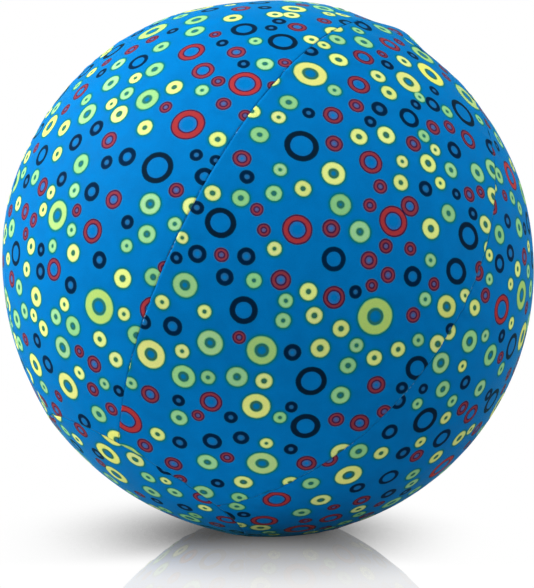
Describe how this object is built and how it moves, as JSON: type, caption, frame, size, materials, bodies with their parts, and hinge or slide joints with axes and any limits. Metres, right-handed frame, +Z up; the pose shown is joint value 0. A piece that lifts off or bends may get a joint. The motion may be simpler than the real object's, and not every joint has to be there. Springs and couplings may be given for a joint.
{
  "type": "balloon ball",
  "caption": "Soft play ball: a printed cloth cover sewn from gores and round caps, kept round by a latex balloon, with an overlapped opening.",
  "frame": {"origin": "middle of the flat foot on which the ball lies, on the floor", "axes": "+Z up; -Y towards the viewer of the picture and +X to the viewer's right; the ball's own axis through its two caps leans 35.5 degrees from upright"},
  "size_m": [0.299, 0.3, 0.2984],
  "materials": {
    "cover_cloth": "printed plain-weave cotton, matt",
    "sewing_thread": "spun polyester thread, matt",
    "latex": "stretched natural latex, satin"
  },
  "bodies": {
    "ball": {"gore_1": "cover_cloth", "gore_2": "cover_cloth", "gore_3": "cover_cloth", "gore_4": "cover_cloth", "gore_5": "cover_cloth", "cap_upper": "cover_cloth", "cap_lower": "cover_cloth", "opening_half_inner": "cover_cloth", "opening_half_outer": "cover_cloth", "gore_seam_thread_1": "sewing_thread", "gore_seam_thread_2": "sewing_thread", "gore_seam_thread_3": "sewing_thread", "gore_seam_thread_4": "sewing_thread", "gore_seam_thread_5": "sewing_thread", "gore_seam_thread_6": "sewing_thread", "cap_seam_thread_upper": "sewing_thread", "cap_seam_thread_lower": "sewing_thread", "bartack_left": "sewing_thread", "overlap_thread_left": "sewing_thread", "bartack_right": "sewing_thread", "overlap_thread_right": "sewing_thread", "balloon": "latex", "balloon_knot": "latex"},
    "flap": {"opening_flap": "cover_cloth", "flap_hem_thread": "sewing_thread"}
  },
  "joints": [
    {"name": "flap_lift", "type": "hinge", "parent": "ball", "child": "flap", "pos_m": [0.0029, 0.14639, 0.1854], "axis": [0.8257, 0.124, -0.5504], "range_deg": [0, 60]}
  ]
}
